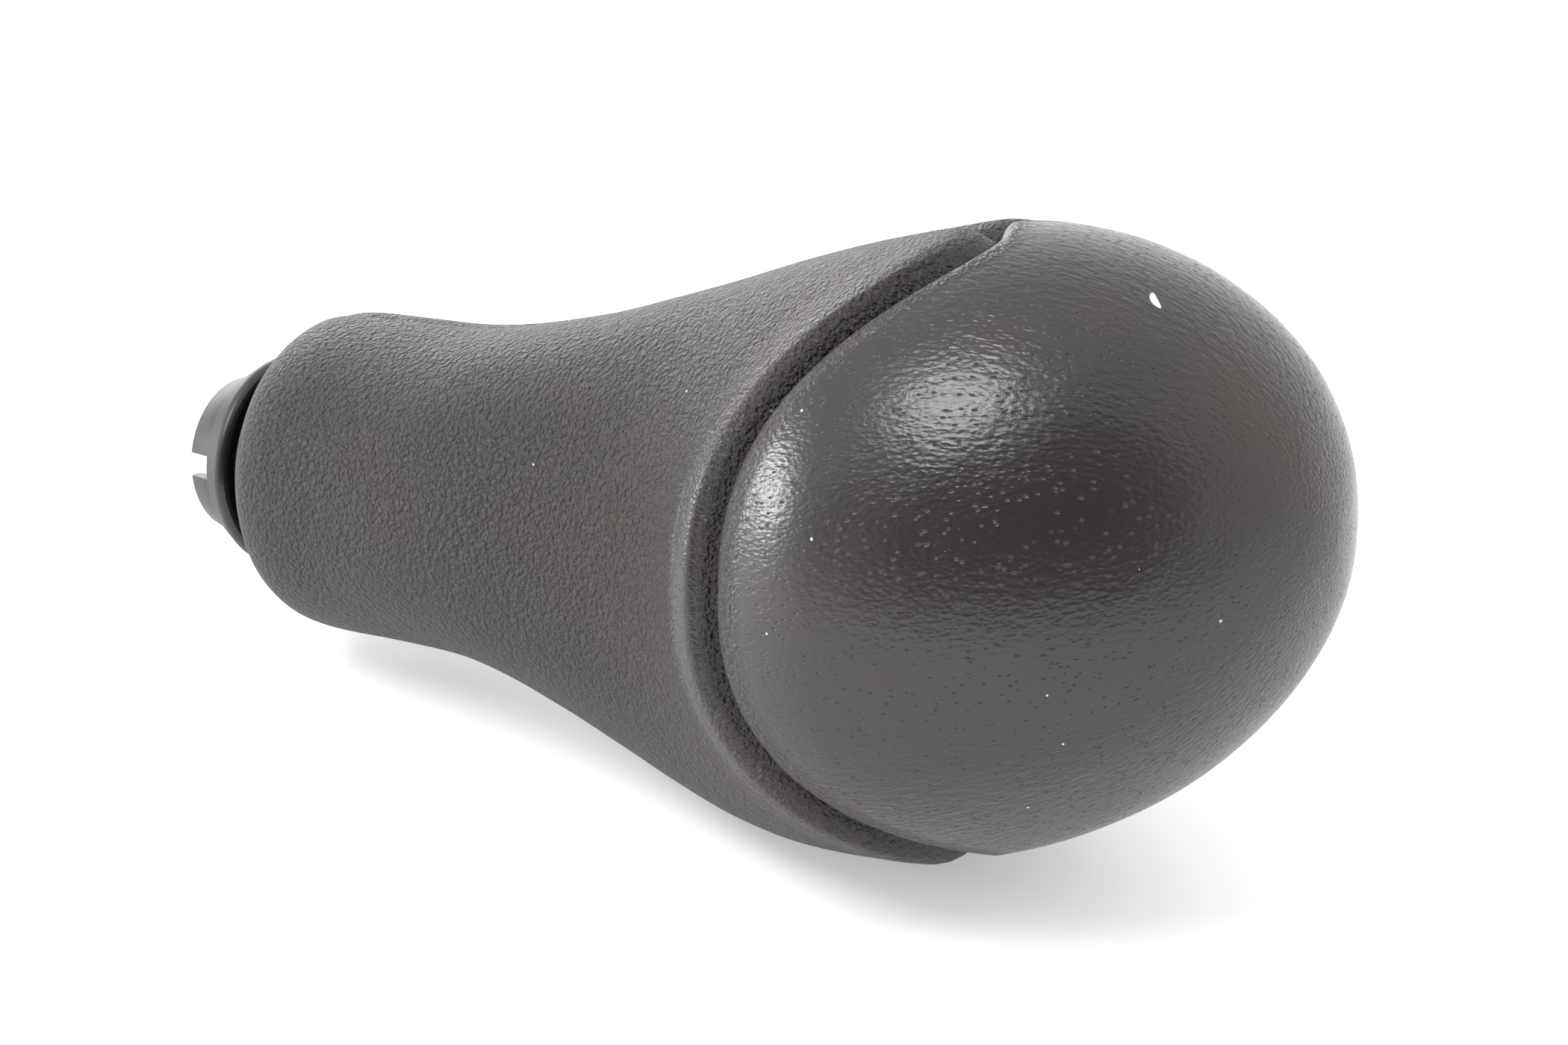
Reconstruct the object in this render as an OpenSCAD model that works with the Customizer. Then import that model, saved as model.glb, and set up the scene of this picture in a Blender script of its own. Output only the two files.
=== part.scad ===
// Leather covered selector lever knob with a turning lock sleeve.
// The lever's axis is Z and the origin is the mouth of the lever socket.
// The front of the knob, to which the crown leans, is -Y, and its flanks are +X and -X.

/* [Crown] */
// Height of the crown's top above the mouth of the lever socket
top_z = 114.3; // [108:0.1:125]
// Width of the head from flank to flank
head_w = 50; // [46:0.5:56]
// Depth of the head from front to back
head_d = 55; // [50:0.5:62]
// Height of the head's widest level
head_z = 79.8; // [76:0.1:84]
// How far the crown's top leans to the front
crown_lean = 6.7; // [0:0.1:9]
// How far the head's widest level leans to the front
head_lean = 1.8; // [0:0.1:4]
// Roundness of the dome, 2 is an ellipse
dome_power = 1.94; // [1.8:0.01:2.4]
// Roundness of the head seen from above, 2 is an ellipse
head_power = 2.1; // [2:0.01:2.5]

/* [Neck] */
// Height of the leather's lower edge
neck_z = 6.4; // [6.3:0.1:7.2]
// Height at which the rounded lower end reaches its full size
end_z = 16.1; // [14:0.1:18]
// Width of the neck at its lower end
end_w = 29.4; // [28:0.2:34]
// Depth of the neck at its lower end
end_d = 30.6; // [29:0.2:35]
// How far the rounded end draws in to the lower edge
end_round = 4.1; // [3:0.1:4.6]
// Height of the waist
waist_z = 29.3; // [26:0.1:34]
// Width of the neck at the waist
waist_w = 31; // [28:0.2:35]
// Depth of the neck at the waist
waist_d = 31.5; // [29:0.2:36]
// Height of the shoulder below the head
shoulder_z = 57.3; // [54:0.1:62]
// Width at the shoulder
shoulder_w = 33.4; // [31:0.2:38]
// Depth at the shoulder
shoulder_d = 48; // [44:0.2:52]
// How far the shoulder bulges to the back
shoulder_back = 1.1; // [0:0.1:3]

/* [Leather] */
// Thickness of the leather
leather_t = 1.1; // [0.8:0.1:1.4]
// Glue gap between a cover and what carries it
glue_gap = 0.3; // [0.25:0.05:0.4]
// Height of the crown's edge at the flanks
edge_low_z = 67.9; // [64:0.1:71]
// Height of the crown's edge where it is highest, beside the seams
edge_high_z = 85.6; // [84:0.1:88]
// Angle from the flank at which the crown's edge is highest
edge_peak = 78; // [74:0.5:86]
// How tightly the crown's edge turns up to there, higher is later
edge_power = 2.7; // [2:0.1:3.2]
// Distance from the crown's edge down to the rounded lip of the side covers
lip_drop = 7; // [6:0.1:8]
// The same distance at the seams
lip_seam_drop = 2.8; // [2.4:0.1:4]
// Height of the rounded lip over the knob's outline
lip_rise = 0.5; // [0:0.1:1]
// Depth of the tucked groove under the crown's edge
groove_depth = 5; // [4.6:0.1:6]
// Depth of that groove at the seams
groove_seam_depth = 3.4; // [3.2:0.1:5]
// How far the crown's edge dips where it laps over a seam
seam_dip = 1.8; // [0:0.1:2.4]
// Depth of the tucked seam at the groove
seam_depth = 2.2; // [1:0.1:2.6]
// Depth of that seam on the neck, where the covers lie close together
seam_neck_depth = 0.4; // [0.2:0.1:1]
// Angle over which a side cover turns down into the seam on the neck
seam_turn = 8; // [6:0.5:12]
// The same angle at the groove
seam_top_turn = 11; // [8:0.5:14]
// Radius of the crown cover's rolled edge
roll_r = 1.7; // [1.4:0.1:2]

/* [Crown carrier] */
// Wall of the carrier under the crown cover
carrier_wall = 2; // [1.6:0.1:2.4]
// Radius of a carrier peg
peg_r = 2; // [1.6:0.1:2.4]
// Distance of a peg from the lever's axis
peg_reach = 11; // [10:0.5:12]

/* [Core insert] */
// Radius of the lever socket's bore
bore_r = 4.5; // [4:0.05:4.8]
// Height at which the socket's bore ends
socket_z = 57; // [50:0.5:60]
// Wall of the tube on which the lock sleeve turns
tube_wall = 1.5; // [1.4:0.05:1.6]
// Radius of the tube inside the grip
core_r = 9; // [8.6:0.1:9.2]
// Radius of the glossy flange under the leather
flange_r = 10.1; // [9.8:0.1:10.3]
// Underside of that flange
flange_low_z = 4; // [3.9:0.1:4.3]
// Top of that flange
flange_high_z = 6.1; // [6:0.05:6.2]
// Depth of the pocket for the sleeve's upper tube
pocket_z = 10.5; // [10.2:0.1:11.5]
// Radius of the plate that holds the crown carrier's pegs
plate_r = 15.5; // [15:0.1:16]
// Underside of that plate
plate_z = 82; // [80:0.5:84]
// Thickness of the plate and of the ribs in the grip
rib_t = 2.4; // [1.8:0.1:3]
// How far the ribs stand out of the core tube
rib_reach = 3; // [2:0.1:3.4]
// Thickness of the cushion in its own seat above the bore
cushion_t = 3; // [2:0.5:4]
// How far that seat is wider than the bore, all round
cushion_step = 0.6; // [0.4:0.1:1]

/* [Lock sleeve] */
// How far the toothed skirt reaches below the socket's mouth
skirt_z = 3.7; // [3.4:0.1:4.2]
// Outer radius at the toothed end
tooth_r = 7.5; // [7.4:0.1:7.7]
// Outer radius of the skirt at the step
skirt_r = 8.4; // [8:0.1:8.6]
// Outer radius of the band at the step
band_r = 9; // [8.8:0.1:9.2]
// Outer radius of the band at its rim
rim_r = 10.2; // [9.8:0.1:10.4]
// Height of the rim
rim_z = 3.2; // [3:0.1:3.5]
// Width of the notches that let the lever's cross pin in
notch_w = 2.2; // [2:0.1:2.4]
// Thickness of the ledge that locks the cross pin
ledge_t = 2; // [1.6:0.1:2.2]
// Reach of the cross pin's channel from the axis
channel_r = 7.2; // [7:0.1:7.4]
// Wall of the sleeve's upper tube
sleeve_wall = 1.2; // [1:0.05:1.3]
// Height of the snap bead on the sleeve's upper tube
bead = 0.3; // [0.2:0.05:0.4]
// Running clearance round the core tube
run_gap = 0.06; // [0.04:0.01:0.09]
// Free gap at faces that pass each other
face_gap = 0.25; // [0.2:0.05:0.3]
// Angle that the sleeve turns from open to locked
lock_turn = 90; // [60:5:95]
// Angle that the stop rib takes up
stop_angle = 16; // [10:1:24]

/* [Hidden] */
$fn = 96;

body_in = leather_t + glue_gap;
carrier_in = body_in + carrier_wall;
dome_in = carrier_in + glue_gap;
tube_r = bore_r + tube_wall;
sleeve_in = tube_r + run_gap;
sleeve_out = sleeve_in + sleeve_wall;
pocket_r = sleeve_out + run_gap;
// The sleeve's top stays clear of the pocket's floor
sleeve_top_z = pocket_z - face_gap;
bead_z = (flange_high_z + sleeve_top_z) / 2;
slot_top_z = notch_w;
channel_z = slot_top_z + face_gap;
stop_height = 1.6;
// Height of the step between the skirt and the band, and of the ledge's lower face
step_z = -0.1;
ledge_z = -face_gap - ledge_t;
peg_clear = 0.05;
foam_peg_clear = 0.4;
// Cutting shapes reach this far past the face that they cut
cut = 1;
cover_step = 9;
// Where the dome starts above the crown's edge, and its number of rows, for all the faces that nest
dome_rise = body_in + 1.4;
dome_count = 14;
// Share of the head's own lean that the crown's top still has
top_lean = 0.92;
// How squarely the lower end is rounded
end_power = 2.5;
// How close to the seams the groove closes up, and the crown's edge dips
seam_power = 12;
dip_power = 48;
// Shares of the way up at which a seam starts to deepen and the lip starts to swell
seam_start = 0.6;
swell_start = 0.72;
// Share of the lip's drop by which the groove starts earlier at the seams, and where it ends
seam_lead = 0.3;
groove_end = 0.94;
// Slowness of the groove's start, and share of the drop over which the lip's rise fades
groove_ease = 1.2;
lip_fade = 0.5;
// Chamfer at the foot of the carrier and inside the cover's rolled edge
foot_chamfer = 0.6;
// The cover's tuck ends this far from the foam, and the foam keeps this far from the tuck
tuck_gap = 0.5;
foam_ease = 0.2;
roll_step = 30;

// Slopes of a smooth curve through four stations, whose end slopes are given
function inner_slopes(z, v, first, last) =
    let (
        a = z[1] - z[0],
        b = z[2] - z[1],
        c = z[3] - z[2],
        p = 3 * ((v[1] - v[0]) / (a * a) + (v[2] - v[1]) / (b * b)) - first / a,
        q = 3 * ((v[2] - v[1]) / (b * b) + (v[3] - v[2]) / (c * c)) - last / c,
        k = 2 / a + 2 / b,
        m = 2 / b + 2 / c,
        det = k * m - 1 / (b * b)
    )
    [first, (p * m - q / b) / det, (q * k - p / b) / det, last];

// A cubic between two stations from its values and slopes
function hermite(t, span, v0, v1, s0, s1) =
    (2 * t * t * t - 3 * t * t + 1) * v0 + (3 * t * t - 2 * t * t * t) * v1
    + span * ((t * t * t - 2 * t * t + t) * s0 + (t * t * t - t * t) * s1);

function curve_at(z, zs, v, s) =
    let (
        i = z < zs[1] ? 0 : z < zs[2] ? 1 : 2,
        span = zs[i + 1] - zs[i],
        t = min(1, max(0, (z - zs[i]) / span))
    )
    hermite(t, span, v[i], v[i + 1], s[i], s[i + 1]);

// The outline's stations, as half widths, half depths and shifts to the back
stations = [end_z, waist_z, shoulder_z, head_z];
half_w = [end_w, waist_w, shoulder_w, head_w] / 2;
half_d = [end_d, waist_d, shoulder_d, head_d] / 2;
w_slopes = inner_slopes(stations, half_w, 0, 0);
d_slopes = inner_slopes(stations, half_d, 0, 0);
shift_stations = [waist_z, shoulder_z, head_z, top_z];
shifts = [0, shoulder_back, -head_lean, -crown_lean];
top_tilt = -(crown_lean - head_lean) / (top_z - head_z) * top_lean;
shift_slopes = inner_slopes(shift_stations, shifts, 0, top_tilt);

// The rounded lower end draws the outline in, t is the depth below the outer skin
function end_draw(z, t) =
    let (u = min(1, max(0, (end_z - z) / (end_z - neck_z - t))))
    end_round * (1 - sqrt(1 - pow(u, end_power)));
function dome_share(z, t) =
    let (u = min(1, max(0, (z - head_z) / (top_z - t - head_z))))
    pow(max(0, 1 - pow(u, dome_power)), 1 / dome_power);
function half_at(z, t, v, s) =
    z > head_z ? (v[3] - t) * dome_share(z, t)
               : curve_at(z, stations, v, s) - t - end_draw(z, t);
function shift_at(z) = curve_at(z, shift_stations, shifts, shift_slopes);
function power_at(z) = 2 + (head_power - 2) * min(1, max(0, (z - waist_z) / (head_z - waist_z)));
function spread(v, n) = sign(v) * pow(abs(v), 2 / n);

// A point of the skin at height z and angle a, t below the outer skin
function skin(z, a, t, extra = 0) = [
    max(0, half_at(z, t, half_w, w_slopes) - extra) * spread(cos(a), power_at(z)),
    shift_at(z) + max(0, half_at(z, t, half_d, d_slopes) - extra) * spread(sin(a), power_at(z)),
    z
];

// The crown's edge is low on the flanks, rises to the front and the back and dips over the seams
function edge_z(a) =
    edge_low_z + (edge_high_z - edge_low_z) * pow(sin(90 * abs(a) / edge_peak), edge_power)
    - seam_dip * pow(abs(sin(a)), dip_power);
// The groove narrows and closes up towards the seams
function near_seam(a) = pow(abs(sin(a)), seam_power);
function lip_drop_at(a) = lip_drop + (lip_seam_drop - lip_drop) * near_seam(a);
function groove_at(a) = groove_depth + (groove_seam_depth - groove_depth) * near_seam(a);
// The seams at the front and the back draw the skin in, deeper and wider towards the groove
function seam_draw(a, share) =
    let (
        high = pow(min(1, max(0, (share - seam_start) / (1 - seam_start))), 2),
        depth = seam_neck_depth + (seam_depth - seam_neck_depth) * high,
        turn = seam_turn + (seam_top_turn - seam_turn) * high
    )
    depth * pow(max(0, 1 - (90 - abs(a)) / turn), 2);
function flank_angle(a) = a > 90 ? 180 - a : a;

// Angles round one side cover, closer together towards its seams
seam_angles = [0.5, 2, 4.2, 7, 10.5];
last_seam = len(seam_angles) - 1;
cover_steps = 17;
plain_turn = 90 - seam_angles[last_seam];
cover_angles = concat(
    [for (s = seam_angles) s - 90],
    [for (i = [1 : cover_steps - 1]) plain_turn * (2 * i / cover_steps - 1)],
    [for (i = [last_seam : -1 : 0]) 90 - seam_angles[i]]);
ring_angles = concat([-90], cover_angles, [90],
    [for (i = [len(cover_angles) - 1 : -1 : 0]) 180 - cover_angles[i]]);

// Rows of a side cover up to the lip, as shares of the way from the lower edge, and then into the groove, as
// shares of the way from the lip up to the crown's edge
end_shares = [0, 0.006, 0.03, 0.08, 0.16];
neck_rows = 13;
neck_shares = [for (i = [1 : neck_rows]) let (s = end_shares[4]) s + (1 - s) * i / neck_rows];
groove_shares = [0.14, 0.28, 0.42, 0.56, 0.7, 0.84, 0.97, 1.1];

function ease(x) = let (u = min(1, max(0, x))) u * u * (3 - 2 * u);
// The groove's depth follows half a cosine wave of the way up, and the lip rises out of the neck and fades again
function groove_sink(up, a) =
    let (start = -seam_lead * near_seam(a), u = min(1, max(0, (up - start) / (groove_end - start))))
    groove_at(a) * (1 - cos(180 * pow(u, groove_ease))) / 2;
function lip_swell(up, share) =
    lip_rise * (up < 0 ? ease((share - swell_start) / (1 - swell_start)) : 1 - ease(up / lip_fade));
function lip_z(a) = edge_z(a) - lip_drop_at(a);

// A point of the side covers' skin at height z and angle a, t below their outer face
function side_skin(z, a, t) =
    let (
        f = flank_angle(a),
        low = neck_z + t,
        up = (z - lip_z(f)) / lip_drop_at(f),
        share = (z - low) / (lip_z(f) - low)
    )
    skin(z, a, t, groove_sink(up, f) - lip_swell(up, share) + seam_draw(f, share));
// One upward path over that skin
function side_path(a, t) =
    let (f = flank_angle(a), low = neck_z + t)
    concat(
        [for (s = concat(end_shares, neck_shares)) side_skin(low + s * (lip_z(f) - low), a, t)],
        [for (s = groove_shares) side_skin(lip_z(f) + s * lip_drop_at(f), a, t)]);

// Rows over the dome from a height above the crown's edge to the top
function dome_rows(rise, t, count) = [
    for (i = [0 : count - 1])
        [for (a = ring_angles)
            let (
                low = edge_z(flank_angle(a)) + rise,
                z = low + (top_z - t - low) * sin(90 * i / count)
            )
            skin(z, a, t)]];
function flip(rows) = [for (i = [len(rows) - 1 : -1 : 0]) rows[i]];
function edge_row(t, rise) = [for (a = ring_angles) skin(edge_z(flank_angle(a)) + rise, a, t)];
// The same row, but at the depth of the groove plus t
function groove_row(t, rise) =
    [for (a = ring_angles) skin(edge_z(flank_angle(a)) + rise, a, groove_at(flank_angle(a)) + t)];

// A closed skin over rings that follow each other, with a point at each end
module lofted(rows, first, last) {
    n = len(rows);
    m = len(rows[0]);
    points = concat([first], [for (r = rows) for (p = r) p], [last]);
    function at(i, j) = 1 + i * m + j % m;
    polyhedron(points, concat(
        [for (j = [0 : m - 1]) [0, at(0, j), at(0, j + 1)]],
        [for (i = [0 : n - 2]) for (j = [0 : m - 1]) [at(i, j), at(i + 1, j), at(i + 1, j + 1)]],
        [for (i = [0 : n - 2]) for (j = [0 : m - 1]) [at(i, j), at(i + 1, j + 1), at(i, j + 1)]],
        [for (j = [0 : m - 1]) [n * m + 1, at(n - 1, j + 1), at(n - 1, j)]]));
}

// A sheet with a thickness: columns of outer points upwards, then inner points downwards
module sheet(columns) {
    k = len(columns[0]);
    n = len(columns);
    h = k / 2;
    function at(j, i) = j * k + i % k;
    polyhedron([for (c = columns) for (p = c) p], concat(
        [for (j = [0 : n - 2]) for (i = [0 : k - 1]) [at(j, i), at(j, i + 1), at(j + 1, i + 1)]],
        [for (j = [0 : n - 2]) for (i = [0 : k - 1]) [at(j, i), at(j + 1, i + 1), at(j + 1, i)]],
        [for (i = [0 : h - 2]) [at(0, i + 1), at(0, i), at(0, k - 1 - i)]],
        [for (i = [0 : h - 2]) [at(0, i + 1), at(0, k - 1 - i), at(0, k - 2 - i)]],
        [for (i = [0 : h - 2]) [at(n - 1, i), at(n - 1, i + 1), at(n - 1, k - 1 - i)]],
        [for (i = [0 : h - 2]) [at(n - 1, i + 1), at(n - 1, k - 2 - i), at(n - 1, k - 1 - i)]]));
}

module side_cover() {
    sheet([for (a = cover_angles) concat(side_path(a, 0), flip(side_path(a, leather_t)))]);
}
module side_cover_left() {
    color([0.13, 0.13, 0.13]) side_cover();
}
module side_cover_right() {
    color([0.13, 0.13, 0.13]) mirror([1, 0, 0]) side_cover();
}

// The crown's cover is rolled round the carrier's edge and tucked behind it
module crown_cover() {
    rows = concat(
        flip(dome_rows(dome_rise, leather_t, dome_count)),
        [edge_row(leather_t, leather_t + foot_chamfer)],
        [edge_row(leather_t + foot_chamfer, leather_t)],
        [groove_row(-tuck_gap, leather_t)],
        [groove_row(-tuck_gap, 0)],
        [for (q = [90 : -roll_step : roll_step]) edge_row(roll_r * (1 - cos(q)), roll_r * (1 - sin(q)))],
        dome_rows(roll_r, 0, dome_count));
    color([0.12, 0.12, 0.12])
        lofted(rows, [0, shift_at(top_z), top_z - leather_t], [0, shift_at(top_z), top_z]);
}

// A stiff cap that carries the crown's cover, with pegs into the core's plate
module crown_carrier() {
    rows = concat(
        flip(dome_rows(dome_rise, carrier_in, dome_count)),
        [edge_row(carrier_in, body_in)],
        [edge_row(body_in + foot_chamfer, body_in)],
        [edge_row(body_in, body_in + foot_chamfer)],
        dome_rows(dome_rise, body_in, dome_count));
    color([0.25, 0.25, 0.26]) {
        lofted(rows, [0, shift_at(top_z), top_z - carrier_in], [0, shift_at(top_z), top_z - body_in]);
        intersection() {
            pegs(peg_r, plate_z, top_z);
            carrier_middle();
        }
    }
}
// The space under the middle of the carrier's wall, in which the pegs end
module carrier_middle() {
    depth = body_in + carrier_wall / 2;
    lofted(dome_rows(dome_rise, depth, dome_count), [0, 0, edge_low_z], [0, shift_at(top_z), top_z - depth]);
}
// The four pegs stand round the axis, moved to the front as the head is
module pegs(r, low, high) {
    for (a = [45 : 90 : 315])
        translate([peg_reach * cos(a), peg_reach * sin(a) - crown_lean / 2, low])
            cylinder(h = high - low, r = r, $fn = 32);
}

// Foam moulded round the core: neck, shoulder, groove and the dome under the carrier
module grip_body() {
    paths = [for (a = ring_angles) side_path(a, body_in)];
    count = len(paths[0]);
    rows = concat(
        [for (i = [0 : count - 1]) [for (p = paths) p[i]]],
        [groove_row(body_in + foam_ease, body_in + foam_ease)],
        dome_rows(dome_rise, dome_in, dome_count));
    base_z = neck_z + body_in;
    color([0.32, 0.31, 0.3])
        difference() {
            lofted(rows, [0, 0, base_z], [0, shift_at(top_z), top_z - dome_in]);
            core_outside();
            pegs(peg_r + foam_peg_clear, plate_z + rib_t, top_z);
        }
}

// The outside of the core where the foam is moulded to it
module core_outside() {
    translate([0, 0, flange_high_z])
        cylinder(h = plate_z - flange_high_z, r = core_r);
    core_ribs();
    translate([0, -crown_lean / 2, plate_z])
        cylinder(h = rib_t, r = plate_r);
}
module core_ribs() {
    rib_low = end_z;
    for (a = [45 : 90 : 315])
        rotate(a)
            translate([0, -rib_t / 2, rib_low])
                cube([core_r + rib_reach, rib_t, plate_z - rib_low]);
}

// Hard plastic insert: socket tube, visible flange, ribs and the plate for the carrier's pegs
module core_insert() {
    color([0.06, 0.06, 0.065])
        difference() {
            union() {
                difference() {
                    union() {
                        core_outside();
                        flange();
                    }
                    sleeve_pocket();
                }
                cylinder(h = socket_z, r = tube_r);
                stop_rib();
            }
            translate([0, 0, -cut])
                cylinder(h = socket_z + 2 * cut, r = bore_r);
            translate([0, 0, socket_z])
                cylinder(h = cushion_t, r = bore_r + cushion_step);
            cross_pin_slots();
            pegs(peg_r + peg_clear, plate_z - cut, plate_z + rib_t + cut);
        }
}
module flange() {
    edge = (flange_high_z - flange_low_z) / 2;
    rotate_extrude()
        union() {
            translate([0, flange_low_z])
                square([flange_r - edge, 2 * edge]);
            translate([flange_r - edge, flange_low_z + edge])
                circle(r = edge, $fn = 32);
        }
}
// The ring shaped pocket in which the sleeve's upper tube turns, with the bead's groove
module sleeve_pocket() {
    translate([0, 0, -cut])
        cylinder(h = pocket_z + cut, r = pocket_r);
    translate([0, 0, bead_z - bead - face_gap])
        cylinder(h = 2 * (bead + face_gap), r = pocket_r + bead + run_gap);
}
// A rib on the pocket's floor between the core tube and the pocket's wall
module stop_rib() {
    root = 0.4;
    rib_low = pocket_z - stop_height + face_gap;
    intersection() {
        translate([0, 0, rib_low])
            cylinder(h = pocket_z + root - rib_low, r = pocket_r + root);
        wedge(0, stop_angle);
    }
}
// The slots take the ends of the lever's cross pin
module cross_pin_slots() {
    translate([-tube_r - cut, -notch_w / 2, -cut])
        cube([2 * (tube_r + cut), notch_w, slot_top_z + cut]);
}
// A wedge from one angle over a turn, wide enough for the sleeve
module wedge(from, turn) {
    steps = 8;
    reach = 2 * rim_r;
    linear_extrude(height = 2 * pocket_z)
        polygon(concat([[0, 0]],
            [for (i = [0 : steps])
                reach * [cos(from + turn * i / steps), sin(from + turn * i / steps)]]));
}

// The sleeve turns from open, with its notches over the slots, to locked under the cross pin
module lock_sleeve() {
    color([0.2, 0.2, 0.21])
        difference() {
            union() {
                sleeve_outside();
                sleeve_bead();
            }
            translate([0, 0, ledge_z - cut])
                cylinder(h = ledge_t + 2 * cut, r = bore_r + face_gap);
            translate([0, 0, -face_gap])
                cylinder(h = sleeve_top_z + face_gap + cut, r = sleeve_in);
            translate([0, 0, -face_gap])
                cylinder(h = channel_z + face_gap, r = channel_r);
            translate([0, 0, -skirt_z - cut])
                cylinder(h = ledge_z + skirt_z + cut, r = tube_r);
            translate([-rim_r, -notch_w / 2, -skirt_z - cut])
                cube([2 * rim_r, notch_w, skirt_z + step_z + cut]);
            stop_window();
        }
}
module sleeve_outside() {
    tooth_bevel = 0.3;
    round_r = 0.9;
    root = 0.2;
    rotate_extrude()
        union() {
            polygon([[0, -skirt_z], [tooth_r - tooth_bevel, -skirt_z], [tooth_r, -skirt_z + tooth_bevel],
                     [skirt_r, step_z], [band_r, step_z], [rim_r, rim_z - round_r],
                     [rim_r - round_r, rim_z], [0, rim_z]]);
            translate([rim_r - round_r, rim_z - round_r])
                circle(r = round_r, $fn = 32);
            translate([0, rim_z - root])
                square([sleeve_out, sleeve_top_z - rim_z + root]);
        }
}
module sleeve_bead() {
    translate([0, 0, bead_z])
        rotate_extrude()
            polygon([[sleeve_in, -bead], [sleeve_out, -bead], [sleeve_out + bead, 0],
                     [sleeve_out, bead], [sleeve_in, bead]]);
}
// The stop rib runs in this window, which ends the turn both ways
module stop_window() {
    spare = 2;
    translate([0, 0, sleeve_top_z - stop_height + face_gap])
        intersection() {
            cylinder(h = stop_height, r = sleeve_out + 1);
            translate([0, 0, -1])
                wedge(-lock_turn - spare, lock_turn + stop_angle + 2 * spare);
        }
}

// A soft pad that takes up the lever's play at the end of the socket
module socket_cushion() {
    slack = 0.1;
    color([0.05, 0.05, 0.05])
        translate([0, 0, socket_z + slack])
            cylinder(h = cushion_t - 2 * slack, r = bore_r + cushion_step - slack);
}

lock_sleeve();
core_insert();
socket_cushion();
grip_body();
side_cover_left();
side_cover_right();
crown_carrier();
crown_cover();
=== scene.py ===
import bmesh
import bpy
import numpy as np
from bpy.props import FloatProperty, FloatVectorProperty, PointerProperty
from mathutils import Matrix, Vector


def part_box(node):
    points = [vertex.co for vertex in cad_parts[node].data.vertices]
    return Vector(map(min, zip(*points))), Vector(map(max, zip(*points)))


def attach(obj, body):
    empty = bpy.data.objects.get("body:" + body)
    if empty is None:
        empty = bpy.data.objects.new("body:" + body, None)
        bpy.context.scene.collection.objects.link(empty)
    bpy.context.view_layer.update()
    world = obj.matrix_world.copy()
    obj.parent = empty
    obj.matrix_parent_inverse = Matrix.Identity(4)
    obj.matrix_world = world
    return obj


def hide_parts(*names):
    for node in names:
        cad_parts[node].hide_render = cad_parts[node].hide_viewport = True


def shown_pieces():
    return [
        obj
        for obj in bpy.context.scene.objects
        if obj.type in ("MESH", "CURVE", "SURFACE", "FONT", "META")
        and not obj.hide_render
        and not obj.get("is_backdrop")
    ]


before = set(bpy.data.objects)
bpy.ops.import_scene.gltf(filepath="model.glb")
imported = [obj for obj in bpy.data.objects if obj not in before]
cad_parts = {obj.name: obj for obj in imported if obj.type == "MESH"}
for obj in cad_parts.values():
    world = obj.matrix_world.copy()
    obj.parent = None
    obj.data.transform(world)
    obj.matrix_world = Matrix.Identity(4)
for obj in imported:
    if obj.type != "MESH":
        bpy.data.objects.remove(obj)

bl_info = {
    "name": "Leather Gear Shift Knob",
    "version": (1, 0, 0),
    "blender": (4, 5, 0),
    "location": "View3D > Sidebar > Shift Knob",
    "description": "Makes the leather covers and the lock sleeve of a gear shift knob over its packed frame",
    "category": "Add Mesh",
}

MM = 0.001
LOWER_EDGE_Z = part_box("side_cover_left")[0][2]
CROWN_TOP_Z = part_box("crown_cover")[1][2]
SLEEVE_LOW, SLEEVE_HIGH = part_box("lock_sleeve")


def length(text, default, title):
    """A size in metres that a user may change."""
    return FloatProperty(name=title, description=text, default=default, min=0.0, unit="LENGTH", precision=5)


def number(text, default, title):
    """A plain number that a user may change."""
    return FloatProperty(name=title, description=text, default=default)


def colour(text, hexa, title):
    """A colour that a user may change, kept as linear light."""
    return FloatVectorProperty(name=title, description=text, subtype="COLOR", size=3, min=0.0, max=1.0,
                               default=linear(hexa)[:3])


def place(text, default, title, subtype="TRANSLATION"):
    """A point or a direction in the part's frame that a user may change."""
    return FloatVectorProperty(name=title, description=text, subtype=subtype, size=3, default=default)


def linear(hexa):
    """An sRGB colour such as "#2b2a29" as linear red, green, blue and alpha."""
    parts = [int(hexa[i:i + 2], 16) / 255 for i in (1, 3, 5)]
    return tuple(p / 12.92 if p <= 0.04045 else ((p + 0.055) / 1.055) ** 2.4 for p in parts) + (1.0,)


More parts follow.
